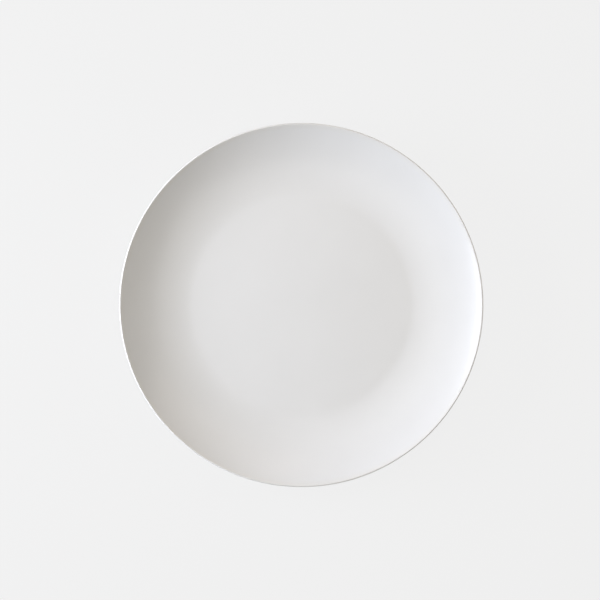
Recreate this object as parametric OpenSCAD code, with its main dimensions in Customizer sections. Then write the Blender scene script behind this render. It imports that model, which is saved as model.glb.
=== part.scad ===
// Coupe dinner plate
// A rimless round plate in white glazed porcelain. The flat floor turns up at a soft edge into
// a wall of one sweeping curve with a fine rounded lip, and a low foot ring carries the plate.
// Sizes are in millimetres. The foot stands on z = 0 and the plate is round about the z axis.

/* [Plate] */
// Diameter over the glazed lip
plate_d = 270; // [240:1:300]
// Height from the table to the top of the lip
plate_h = 26; // [22:0.5:32]

/* [Floor and wall] */
// Diameter of the flat floor, out to its soft edge
floor_d = 163; // [130:1:170]
// Radius of the soft edge, which curves more tightly than the wall
floor_edge_r = 60; // [40:5:80]
// Slope at which the soft edge becomes the wall, in degrees
floor_edge_slope = 6; // [3:0.5:9]
// Thickness of the clay at the floor
floor_t = 4.4; // [3.8:0.1:6]

/* [Lip] */
// Rounding over the fine upper edge of the lip
lip_r = 0.5; // [0.5:0.1:1.4]
// Wider rounding under the lip, which also sets how thick the clay is there
under_lip_r = 5; // [3:0.5:7]

/* [Foot ring] */
// Diameter at the middle of the standing face
foot_d = 154; // [130:1:170]
// Width of the standing face before its edges are rounded
foot_w = 3.6; // [3:0.1:5]
// Height of the hollow inside the foot, from the table up to the clay
recess_h = 3.4; // [2.8:0.1:5]
// Lean of the foot's inner side, in degrees from upright
inner_lean = 15; // [5:1:30]
// Lean of the foot's outer side, in degrees from upright
outer_lean = 30; // [15:1:45]
// Rounding of the two edges of the standing face
foot_edge_r = 0.8; // [0.4:0.1:1.2]
// Hollow rounding where the foot runs into the base and into the wall
foot_root_r = 2; // [1:0.1:2.4]

/* [Glaze] */
// Thickness of the glaze
glaze_t = 0.25; // [0.15:0.05:0.5]
// Height of the band that is wiped bare around the foot
bare_h = 1; // [0.9:0.1:1.6]

/* [Hidden] */

// Straight pieces in the curve of the wall, in a small rounding, and around the plate
wall_steps = 24;
round_steps = 8;
turn_steps = 180;

// The clay floor, and the middle of the rounding over the lip
floor_r = floor_d / 2;
floor_z = recess_h + floor_t;
lip_mid = [plate_d / 2 - glaze_t - lip_r, plate_h - glaze_t - lip_r];

// The soft edge leaves the floor level and turns up to where the wall begins
floor_edge_mid = [floor_r, floor_z + floor_edge_r];
wall_start = floor_edge_mid + floor_edge_r * polar(floor_edge_slope - 90);

// The inside of the wall is one arc that goes on from there at the same slope and ends on the lip
wall_reach = lip_mid - wall_start;
wall_normal = polar(floor_edge_slope + 90);
wall_r = (wall_reach * wall_reach - lip_r ^ 2) / (2 * (wall_reach * wall_normal + lip_r));
wall_mid = wall_start + wall_r * wall_normal;
lip_angle = atan2(lip_mid.y - wall_mid.y, lip_mid.x - wall_mid.x);

// The rounding under the lip takes over where the plate is widest
under_lip_mid = lip_mid - [under_lip_r - lip_r, 0];

// The back of the wall is one arc too. It leaves the base level, under the edge of the floor
back_run = under_lip_mid.x - floor_r;
back_rise = under_lip_mid.y - recess_h;
back_r = (back_run ^ 2 + back_rise ^ 2 - under_lip_r ^ 2) / (2 * (back_rise - under_lip_r));
back_mid = [floor_r, recess_h + back_r];
under_angle = atan2(under_lip_mid.y - back_mid.y, under_lip_mid.x - back_mid.x);

// The foot's straight sides rise from these two corners
foot_in = [foot_d / 2 - foot_w / 2, 0];
foot_out = [foot_d / 2 + foot_w / 2, 0];

// Middles of the roundings on the standing face
edge_in = foot_in + foot_edge_r * [(1 - sin(inner_lean)) / cos(inner_lean), 1];
edge_out = foot_out + foot_edge_r * [(sin(outer_lean) - 1) / cos(outer_lean), 1];

// Middle of the hollow rounding from the base to the foot's inner side
root_in_z = recess_h - foot_root_r;
root_in = [foot_in.x - root_in_z * tan(inner_lean) - foot_root_r / cos(inner_lean), root_in_z];

// Middle of the hollow rounding from the foot's outer side to the back of the wall
outer_side = polar(90 - outer_lean);
outer_start = foot_out + foot_root_r * polar(-outer_lean) - back_mid;
outer_drop = outer_start * outer_side;
outer_reach = (back_r + foot_root_r) ^ 2 + outer_drop ^ 2 - outer_start * outer_start;
root_out = back_mid + outer_start - (outer_drop + sqrt(outer_reach)) * outer_side;
root_angle = atan2(root_out.y - back_mid.y, root_out.x - back_mid.x);

function polar(angle) = [cos(angle), sin(angle)];

function arc(mid, r, from, to, steps) =
    [for (i = [0:steps]) mid + r * polar(from + (to - from) * i / steps)];

function distinct(points) =
    [for (i = [0:len(points) - 1]) if (i == 0 || norm(points[i] - points[i - 1]) > 0.001) points[i]];

// Half section of the plate, walked from under the middle, round the foot and the lip, to the floor.
// Growing it moves every surface out by the same amount, so that a coat lies flush on what it covers.
function outline(grow) = distinct(concat(
    [[0, recess_h - grow]],
    arc(root_in, foot_root_r - grow, 90, inner_lean, round_steps),
    arc(edge_in, foot_edge_r + grow, 180 + inner_lean, 270, round_steps),
    arc(edge_out, foot_edge_r + grow, 270, 360 - outer_lean, round_steps),
    arc(root_out, foot_root_r - grow, 180 - outer_lean, 180 + root_angle, round_steps),
    arc(back_mid, back_r + grow, root_angle, under_angle, wall_steps),
    arc(under_lip_mid, under_lip_r + grow, under_angle, 0, round_steps),
    arc(lip_mid, lip_r + grow, 0, lip_angle + 180, round_steps),
    arc(wall_mid, wall_r - grow, lip_angle, floor_edge_slope - 90, wall_steps),
    arc(floor_edge_mid, floor_edge_r - grow, floor_edge_slope - 90, -90, round_steps),
    [[0, floor_z + grow]]
));

// Section of the glaze above the wiped band, all round the clay
module coat() {
    difference() {
        polygon(outline(glaze_t));
        polygon(outline(0));
        translate([0, -plate_h])
            square([plate_d, plate_h + bare_h]);
    }
}

// Everything under the base inside the middle of the foot
module under_base() {
    square([foot_d / 2, recess_h + floor_t / 2]);
}

// Pressed and fired clay with its foot, bare where it stands
module porcelain_body() {
    color("linen")
        rotate_extrude($fn = turn_steps)
            polygon(outline(0));
}

// One coat of glaze over the floor, the wall, the lip, the back and the foot's outer side
module glaze_coat() {
    color("white")
        rotate_extrude($fn = turn_steps)
            difference() {
                coat();
                under_base();
            }
}

// Glaze inside the foot, cut off from the other by the bare standing face
module base_glaze() {
    color("whitesmoke")
        rotate_extrude($fn = turn_steps)
            intersection() {
                coat();
                under_base();
            }
}

porcelain_body();
glaze_coat();
base_glaze();
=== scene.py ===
import math
from collections import namedtuple

import bmesh
import bpy
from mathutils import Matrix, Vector


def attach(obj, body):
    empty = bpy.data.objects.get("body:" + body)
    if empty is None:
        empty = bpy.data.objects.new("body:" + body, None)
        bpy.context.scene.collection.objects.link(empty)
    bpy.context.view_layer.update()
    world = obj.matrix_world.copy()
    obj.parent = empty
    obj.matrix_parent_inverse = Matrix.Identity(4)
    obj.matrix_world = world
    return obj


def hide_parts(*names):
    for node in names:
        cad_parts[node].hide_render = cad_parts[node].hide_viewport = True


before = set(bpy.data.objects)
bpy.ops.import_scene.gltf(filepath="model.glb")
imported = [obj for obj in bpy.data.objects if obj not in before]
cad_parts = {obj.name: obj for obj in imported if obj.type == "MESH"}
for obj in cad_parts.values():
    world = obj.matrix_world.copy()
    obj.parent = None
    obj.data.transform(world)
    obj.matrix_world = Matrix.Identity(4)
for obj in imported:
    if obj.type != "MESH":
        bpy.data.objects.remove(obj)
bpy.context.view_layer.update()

# Clay body: the plate itself, pressed in one piece from porcelain clay with its foot ring, and fired.
# The glaze hides all of it but the ring that the plate stands on, which is wiped bare before firing so
# that it doesn't stick to the kiln shelf. Use then rubs that ring smooth and a little grey.
MM = 0.001
plate_d = 270 * MM
plate_h = 26 * MM
floor_d = 163 * MM
floor_edge_r = 60 * MM
floor_edge_slope = 6
floor_t = 4.4 * MM
lip_r = 0.5 * MM
under_lip_r = 5 * MM
foot_d = 154 * MM
foot_w = 3.6 * MM
recess_h = 3.4 * MM
inner_lean = 15
outer_lean = 30
foot_edge_r = 0.8 * MM
foot_root_r = 2 * MM
glaze_t = 0.25 * MM


def polar(degrees):
    return Vector((math.cos(math.radians(degrees)), math.sin(math.radians(degrees))))


def direction(point):
    return math.degrees(math.atan2(point.y, point.x))


# The section is drawn in radius and height. The level floor turns up at a soft edge, the inside of the
# wall is one arc from there to the fine lip, and the back is another from the base to the rounding under
# the lip.
floor_r = floor_d / 2
floor_z = recess_h + floor_t
lip_mid = Vector((plate_d / 2 - glaze_t - lip_r, plate_h - glaze_t - lip_r))
floor_edge_mid = Vector((floor_r, floor_z + floor_edge_r))
wall_start = floor_edge_mid + floor_edge_r * polar(floor_edge_slope - 90)
wall_reach = lip_mid - wall_start
wall_normal = polar(floor_edge_slope + 90)
wall_r = (wall_reach.length_squared - lip_r ** 2) / (2 * (wall_reach.dot(wall_normal) + lip_r))
wall_mid = wall_start + wall_r * wall_normal
lip_angle = direction(lip_mid - wall_mid)
under_lip_mid = lip_mid - Vector((under_lip_r - lip_r, 0))
back_run = under_lip_mid.x - floor_r
back_rise = under_lip_mid.y - recess_h
back_r = (back_run ** 2 + back_rise ** 2 - under_lip_r ** 2) / (2 * (back_rise - under_lip_r))
back_mid = Vector((floor_r, recess_h + back_r))
under_angle = direction(under_lip_mid - back_mid)

# The foot has two leaning sides, with rounded edges where it stands and hollow roundings where it joins
# the base and the back.
foot_in = Vector((foot_d / 2 - foot_w / 2, 0))
foot_out = Vector((foot_d / 2 + foot_w / 2, 0))
inner_tilt = polar(inner_lean)
outer_tilt = polar(outer_lean)
edge_in = foot_in + foot_edge_r * Vector(((1 - inner_tilt.y) / inner_tilt.x, 1))
edge_out = foot_out + foot_edge_r * Vector(((outer_tilt.y - 1) / outer_tilt.x, 1))
root_in_z = recess_h - foot_root_r
root_in = Vector((foot_in.x - (root_in_z * inner_tilt.y + foot_root_r) / inner_tilt.x, root_in_z))
outer_side = polar(90 - outer_lean)
outer_start = foot_out + foot_root_r * polar(-outer_lean) - back_mid
outer_drop = outer_start.dot(outer_side)
outer_reach = (back_r + foot_root_r) ** 2 + outer_drop ** 2 - outer_start.length_squared
root_out = back_mid + outer_start - (outer_drop + math.sqrt(outer_reach)) * outer_side
root_angle = direction(root_out - back_mid)

# Arcs of the section, in the order of a walk from the floor over the lip to the base. An arc's bulge is 1
# where the clay swells and -1 where it is hollow, because a coat widens the one and narrows the other.
Arc = namedtuple("Arc", "mid radius begins ends bulge steps")
round_steps = 8
lip_steps = 14
under_lip_steps = 12
wall_steps = 40
back_steps = 48
floor_edge = Arc(floor_edge_mid, floor_edge_r, -90, floor_edge_slope - 90, -1, round_steps)
wall = Arc(wall_mid, wall_r, floor_edge_slope - 90, lip_angle, -1, wall_steps)
lip = Arc(lip_mid, lip_r, lip_angle + 180, 0, 1, lip_steps)
under_lip = Arc(under_lip_mid, under_lip_r, 0, under_angle, 1, under_lip_steps)
back = Arc(back_mid, back_r, under_angle, root_angle, 1, back_steps)
foot_root_out = Arc(root_out, foot_root_r, 180 + root_angle, 180 - outer_lean, -1, round_steps)
foot_edge_out = Arc(edge_out, foot_edge_r, -outer_lean, -90, 1, round_steps)
foot_edge_in = Arc(edge_in, foot_edge_r, -90, inner_lean - 180, 1, round_steps)
foot_root_in = Arc(root_in, foot_root_r, inner_lean, 90, -1, round_steps)

# A plane shrunk to one point is the pen. It draws the section, with points at these shares of the radius
# on the level floor and base, and the section is then turned as on a lathe.
flat_rings = (0, 0.3, 0.6, 0.85, 0.97)
turn_steps = 240
smooth_angle = 30
weld = 0.001 * MM


def start_section(name, point):
    bpy.ops.object.select_all(action="DESELECT")
    bpy.ops.mesh.primitive_plane_add(size=foot_w)
    piece = bpy.context.object
    piece.name = name
    bpy.ops.object.mode_set(mode="EDIT")
    bpy.ops.mesh.merge(type="CENTER")
    bpy.ops.transform.translate(value=(point.x, 0, point.y))
    return piece


def line_to(point):
    mesh = bmesh.from_edit_mesh(bpy.context.object.data)
    pen = next(v.co for v in mesh.verts if v.select)
    step = Vector((point.x - pen.x, 0, point.y - pen.z))
    if step.length > weld:
        bpy.ops.mesh.extrude_vertices_move(TRANSFORM_OT_translate={"value": step})


def draw_arc(arc, grow=0):
    line_to(arc.mid + (arc.radius + arc.bulge * grow) * polar(arc.begins))
    bpy.ops.mesh.spin(
        steps=arc.steps,
        angle=math.radians(arc.ends - arc.begins),
        center=(arc.mid.x, 0, arc.mid.y),
        axis=(0, 1, 0),
    )


def draw_back(arc):
    draw_arc(arc._replace(begins=arc.ends, ends=arc.begins))


def turn_section(piece):
    bpy.ops.object.mode_set(mode="OBJECT")
    lathe = piece.modifiers.new("lathe", "SCREW")
    lathe.steps = turn_steps
    lathe.render_steps = turn_steps
    lathe.use_merge_vertices = True
    lathe.merge_threshold = weld
    bpy.ops.object.modifier_apply(modifier="lathe")
    bpy.ops.object.mode_set(mode="EDIT")
    bpy.ops.mesh.select_all(action="SELECT")
    bpy.ops.mesh.normals_make_consistent(inside=False)
    bpy.ops.object.mode_set(mode="OBJECT")
    bpy.ops.object.shade_smooth_by_angle(angle=math.radians(smooth_angle))


clay = start_section("clay_body", Vector((0, floor_z)))
for share in flat_rings:
    line_to(Vector((share * floor_r, floor_z)))
inside = (floor_edge, wall)
outside = (lip, under_lip, back, foot_root_out)
foot = (foot_edge_out, foot_edge_in, foot_root_in)
for arc in inside + outside + foot:
    draw_arc(arc)
for share in reversed(flat_rings):
    line_to(Vector((share * root_in.x, recess_h)))
turn_section(clay)


def linear(hex_colour):
    shares = [int(hex_colour[i:i + 2], 16) / 255 for i in (1, 3, 5)]
    return [s / 12.92 if s <= 0.04045 else ((s + 0.055) / 1.055) ** 2.4 for s in shares] + [1]


def new_material(name):
    material = bpy.data.materials.new(name)
    material.use_nodes = True
    material.node_tree.nodes.clear()
    return material


def add_node(tree, kind, inputs, **settings):
    node = tree.nodes.new("ShaderNode" + kind)
    for name, value in settings.items():
        setattr(node, name, value)
    for name, value in inputs.items():
        if isinstance(value, bpy.types.NodeSocket):
            tree.links.new(value, node.inputs[name])
        else:
            node.inputs[name].default_value = value
    return node


# Bare porcelain: clay fired until it is dense but still unglazed. It gives the eye a warm matt white with
# a fine grit, drawn a little coarse here so that it shows, and grey smears where it was rubbed on tables.
grit_size = 0.6 * MM
grit_depth = 0.05 * MM
grit_low = 0.35
grit_high = 0.65
smear_size = 9 * MM
smear_low = 0.5
smear_high = 0.7
smear_cover = 0.5
bare_roughness = 0.8
worn_roughness = 0.6
bare_porcelain = new_material("bare_porcelain")
tree = bare_porcelain.node_tree
place = add_node(tree, "TexCoord", {}).outputs["Object"]
grit = add_node(tree, "TexNoise", {"Vector": place, "Scale": 1 / grit_size, "Detail": 3})
smear = add_node(tree, "TexNoise", {"Vector": place, "Scale": 1 / smear_size, "Detail": 4})
clay_tone = add_node(tree, "ValToRGB", {"Fac": grit.outputs["Fac"]})
clay_tone.color_ramp.elements[0].position = grit_low
clay_tone.color_ramp.elements[0].color = linear("#d3ccc0")
clay_tone.color_ramp.elements[1].position = grit_high
clay_tone.color_ramp.elements[1].color = linear("#e2dccf")
rubbed = add_node(tree, "MapRange", {
    "Value": smear.outputs["Fac"],
    "From Min": smear_low,
    "From Max": smear_high,
    "To Max": smear_cover,
})
tone = add_node(tree, "MixRGB", {
    "Fac": rubbed.outputs["Result"],
    "Color1": clay_tone.outputs["Color"],
    "Color2": linear("#b4aea6"),
})
grain = add_node(tree, "Bump", {
    "Height": grit.outputs["Fac"],
    "Distance": grit_depth,
    "Strength": 0.6,
})
sheen = add_node(tree, "MapRange", {
    "Value": rubbed.outputs["Result"],
    "To Min": bare_roughness,
    "To Max": worn_roughness,
})
surface = add_node(tree, "BsdfPrincipled", {
    "Base Color": tone.outputs["Color"],
    "Roughness": sheen.outputs["Result"],
    "IOR": 1.5,
    "Normal": grain.outputs["Normal"],
})
add_node(tree, "OutputMaterial", {"Surface": surface.outputs["BSDF"]})
clay.data.materials.append(bare_porcelain)
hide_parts("porcelain_body")
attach(clay, "root")

# Glaze coat: a quarter of a millimetre of white glass, melted on in the second firing. It runs in one
# skin from the floor over the lip and down the back to the foot's outer side, where it ends in a round
# bead above the wiped band.
bare_h = 1 * MM
bead_r = glaze_t / 2


def bead_arc(foot_corner, side, outward):
    on_clay = foot_corner + (bare_h + bead_r) / side.y * side
    return Arc(on_clay + bead_r * polar(outward), bead_r, outward, outward - 180, 1, round_steps)


glaze = start_section("glaze_coat_skin", Vector((0, floor_z + glaze_t)))
for share in flat_rings:
    line_to(Vector((share * floor_r, floor_z + glaze_t)))
for arc in inside + outside:
    draw_arc(arc, glaze_t)
draw_arc(bead_arc(foot_out, outer_side, -outer_lean))
for arc in reversed(inside + outside):
    draw_back(arc)
for share in reversed(flat_rings):
    line_to(Vector((share * floor_r, floor_z)))
turn_section(glaze)

# White porcelain glaze: a clear feldspar glass on white clay, melted smooth in the kiln. It gives the eye
# an even white with soft reflections that waver, because melted glass never lies quite flat. It is thin
# and warmed by the clay over the lip, and has run together and looks faintly green at the foot.
cloud_size = 45 * MM
cloud_low = 0.3
cloud_high = 0.7
ripple_size = 14 * MM
ripple_depth = 0.06 * MM
lip_zone = 2.5 * MM
lip_warmth = 0.5
pool_tint = 0.8
clear_roughness = 0.2
cloudy_roughness = 0.26
white_glaze = new_material("white_porcelain_glaze")
tree = white_glaze.node_tree
place = add_node(tree, "TexCoord", {}).outputs["Object"]
height = add_node(tree, "SeparateXYZ", {"Vector": place}).outputs["Z"]
cloud = add_node(tree, "TexNoise", {"Vector": place, "Scale": 1 / cloud_size, "Detail": 2})
cloud_tone = add_node(tree, "ValToRGB", {"Fac": cloud.outputs["Fac"]})
cloud_tone.color_ramp.elements[0].position = cloud_low
cloud_tone.color_ramp.elements[0].color = linear("#e6e6e5")
cloud_tone.color_ramp.elements[1].position = cloud_high
cloud_tone.color_ramp.elements[1].color = linear("#e8e8e7")
thin = add_node(tree, "MapRange", {
    "Value": height,
    "From Min": plate_h - lip_zone,
    "From Max": plate_h,
    "To Max": lip_warmth,
})
lip_tone = add_node(tree, "MixRGB", {
    "Fac": thin.outputs["Result"],
    "Color1": cloud_tone.outputs["Color"],
    "Color2": linear("#e6e4df"),
})
pooled = add_node(tree, "MapRange", {
    "Value": height,
    "From Min": recess_h - glaze_t,
    "From Max": bare_h,
    "To Max": pool_tint,
})
tone = add_node(tree, "MixRGB", {
    "Fac": pooled.outputs["Result"],
    "Color1": lip_tone.outputs["Color"],
    "Color2": linear("#dbe0dd"),
})
gloss = add_node(tree, "MapRange", {
    "Value": cloud.outputs["Fac"],
    "From Min": cloud_low,
    "From Max": cloud_high,
    "To Min": clear_roughness,
    "To Max": cloudy_roughness,
})
ripple = add_node(tree, "TexNoise", {"Vector": place, "Scale": 1 / ripple_size, "Detail": 1})
ripples = add_node(tree, "Bump", {
    "Height": ripple.outputs["Fac"],
    "Distance": ripple_depth,
    "Strength": 0.5,
})
surface = add_node(tree, "BsdfPrincipled", {
    "Base Color": tone.outputs["Color"],
    "Roughness": gloss.outputs["Result"],
    "IOR": 1.5,
    "Normal": ripples.outputs["Normal"],
})
add_node(tree, "OutputMaterial", {"Surface": surface.outputs["BSDF"]})
glaze.data.materials.append(white_glaze)
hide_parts("glaze_coat")
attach(glaze, "root")

# Base glaze: the same glass on the underside, inside the foot ring. The wiped ring cuts it off from the
# coat outside, and it ends there in a bead of its own.
base = start_section("base_glaze_skin", Vector((0, recess_h)))
for share in flat_rings:
    line_to(Vector((share * root_in.x, recess_h)))
draw_back(foot_root_in)
draw_arc(bead_arc(foot_in, polar(90 + inner_lean), inner_lean))
draw_arc(foot_root_in, glaze_t)
for share in reversed(flat_rings):
    line_to(Vector((share * root_in.x, recess_h - glaze_t)))
turn_section(base)
base.data.materials.append(white_glaze)
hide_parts("base_glaze")
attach(base, "root")

# Studio floor: a wide sheet of pale paper, a hair below the foot. It shows as the even pale ground of a
# product picture, with a faint shadow from the lamps and a soft shade where the plate hangs low over it.
paper_size = 12
paper_gap = 0.05 * MM
shadow_share = 0.05
shade_reach = 20 * MM
darkest_shade = 0.45
ground_colour = linear("#f1f1f1")
bpy.ops.object.select_all(action="DESELECT")
bpy.ops.mesh.primitive_plane_add(size=paper_size, location=(0, 0, -paper_gap))
bpy.ops.object.transform_apply(location=True, rotation=False, scale=False)
studio_floor = bpy.context.object
studio_floor.name = "studio_floor"


def seen_directly(tree):
    path = add_node(tree, "LightPath", {})
    seen = path.outputs["Is Camera Ray"]
    for kind in ("Is Glossy Ray", "Is Transmission Ray"):
        either = add_node(tree, "Math", {0: seen, 1: path.outputs[kind]}, operation="MAXIMUM")
        seen = either.outputs["Value"]
    return seen


pale_paper = new_material("pale_studio_paper")
tree = pale_paper.node_tree
paper = add_node(tree, "BsdfDiffuse", {"Color": linear("#f4f4f4")})
openness = add_node(tree, "AmbientOcclusion", {"Distance": shade_reach})
shade = add_node(tree, "MapRange", {
    "Value": openness.outputs["AO"],
    "To Min": darkest_shade,
    "To Max": 1,
})
glow = add_node(tree, "Emission", {"Color": ground_colour, "Strength": shade.outputs["Result"]})
seen = seen_directly(tree)
glow_share = add_node(tree, "Math", {0: seen, 1: 1 - shadow_share}, operation="MULTIPLY")
ground = add_node(tree, "MixShader", {
    "Fac": glow_share.outputs["Value"],
    1: paper.outputs["BSDF"],
    2: glow.outputs["Emission"],
})
add_node(tree, "OutputMaterial", {"Surface": ground.outputs["Shader"]})
studio_floor.data.materials.append(pale_paper)

# Studio light: a cool soft box low on the left gives the plate its shape and the far lip its highlight. A
# grid narrows its spread and keeps it off the paper. A wide box overhead lights the floor of the plate,
# and a warm one behind opens the shade. Turn and height are degrees from +X and from the table.
SoftBox = namedtuple("SoftBox", "name turn height distance wide tall spread watts colour")
soft_boxes = (
    SoftBox("key_soft_box", 177, 20, 0.8, 0.6, 0.35, 120, 4.15, "#eef3ff"),
    SoftBox("top_soft_box", 0, 90, 1.3, 1.4, 1.4, 180, 7.25, "#fffdf7"),
    SoftBox("back_soft_box", 60, 45, 1.4, 1.2, 0.8, 180, 4.7, "#fff3e8"),
)
for box in soft_boxes:
    light = bpy.data.lights.new(box.name, "AREA")
    light.shape = "RECTANGLE"
    light.size = box.wide
    light.size_y = box.tall
    light.spread = math.radians(box.spread)
    light.energy = box.watts
    light.color = linear(box.colour)[:3]
    lamp = bpy.data.objects.new(box.name, light)
    bpy.context.collection.objects.link(lamp)
    upward = polar(box.height)
    outward = upward.x * polar(box.turn)
    towards = Vector((outward.x, outward.y, upward.y))
    lamp.location = box.distance * towards
    lamp.rotation_euler = towards.to_track_quat("Z", "Y").to_euler()
    lamp.visible_camera = False

# The room adds a trace of warm light. What shows past the paper is as bright as the paper's far end, so
# that no horizon is seen.
room_strength = 0.03
world = bpy.data.worlds.new("studio")
bpy.context.scene.world = world
world.use_nodes = True
tree = world.node_tree
tree.nodes.clear()
room = add_node(tree, "Background", {"Color": linear("#fff0dc"), "Strength": room_strength})
backdrop = add_node(tree, "Background", {"Color": ground_colour, "Strength": 1 - shadow_share})
surroundings = add_node(tree, "MixShader", {
    "Fac": seen_directly(tree),
    1: room.outputs["Background"],
    2: backdrop.outputs["Background"],
})
add_node(tree, "OutputWorld", {"Surface": surroundings.outputs["Shader"]})

# Camera: a long lens straight above the plate, which lies a little below the middle of the picture. The
# plate's width and its middle, counted from the upper left corner, are in pixels.
picture_width = 600
plate_pixels = 364
plate_middle = Vector((301.3, 305.0))
lens = 85
camera_data = bpy.data.cameras.new("camera")
camera_data.lens = lens
pixel = plate_d / plate_pixels
camera_up = pixel * picture_width * lens / camera_data.sensor_width
camera = bpy.data.objects.new("camera", camera_data)
bpy.context.collection.objects.link(camera)
camera.location = (
    (picture_width / 2 - plate_middle.x) * pixel,
    (plate_middle.y - picture_width / 2) * pixel,
    lip_mid.y + camera_up,
)
bpy.context.scene.camera = camera
bpy.context.scene.view_settings.view_transform = "Standard"
